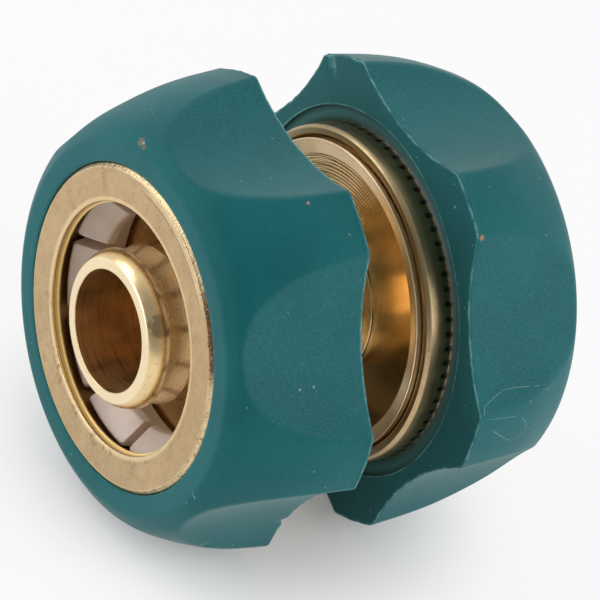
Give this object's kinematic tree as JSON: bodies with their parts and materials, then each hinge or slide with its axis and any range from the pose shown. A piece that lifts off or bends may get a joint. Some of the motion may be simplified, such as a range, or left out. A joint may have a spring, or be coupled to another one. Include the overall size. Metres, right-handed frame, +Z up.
{
  "type": "hose mender",
  "caption": "Brass hose mender: barbed tails join two hose ends, and rubber-gripped nuts screw down over slotted collets to clamp them.",
  "frame": {"origin": "on the mender's axis, at the middle of the neck between the two collars, which is the centre of its bounding box", "axes": "+X along the common axis towards the right-hand hose tail, +Z up; the mender lies on two ridges of each grip"},
  "size_m": [0.0364, 0.0392, 0.0364],
  "materials": {
    "body_brass": "turned, satin",
    "nut_brass": "turned, matte ring face",
    "grip_rubber": "soft matte moulded rubber",
    "collet_plastic": "milky, satin"
  },
  "bodies": {
    "centre_body": {"centre_body": "body_brass"},
    "left_collet": {"left_collet": "collet_plastic"},
    "left_nut": {"left_nut": "nut_brass", "left_grip": "grip_rubber"},
    "right_collet": {"right_collet": "collet_plastic"},
    "right_nut": {"right_nut": "nut_brass", "right_grip": "grip_rubber"}
  },
  "joints": [
    {"name": "left_draw", "type": "slide", "parent": "centre_body", "child": "left_collet", "axis": [-1, 0, 0], "range_m": [0, 0.006]},
    {"name": "left_turn", "type": "hinge", "parent": "left_collet", "child": "left_nut", "pos_m": [-0.01, 0, 0], "axis": [-1, 0, 0], "range_deg": [0, 1440]},
    {"name": "right_draw", "type": "slide", "parent": "centre_body", "child": "right_collet", "axis": [1, 0, 0], "range_m": [0, 0.006]},
    {"name": "right_turn", "type": "hinge", "parent": "right_collet", "child": "right_nut", "pos_m": [0.01, 0, 0], "axis": [1, 0, 0], "range_deg": [0, 1440]}
  ],
  "couplings": [
    {"joint": "left_draw", "follows": "left_turn", "m_per_rad": 0.00023873},
    {"joint": "right_draw", "follows": "right_turn", "m_per_rad": 0.00023873}
  ]
}
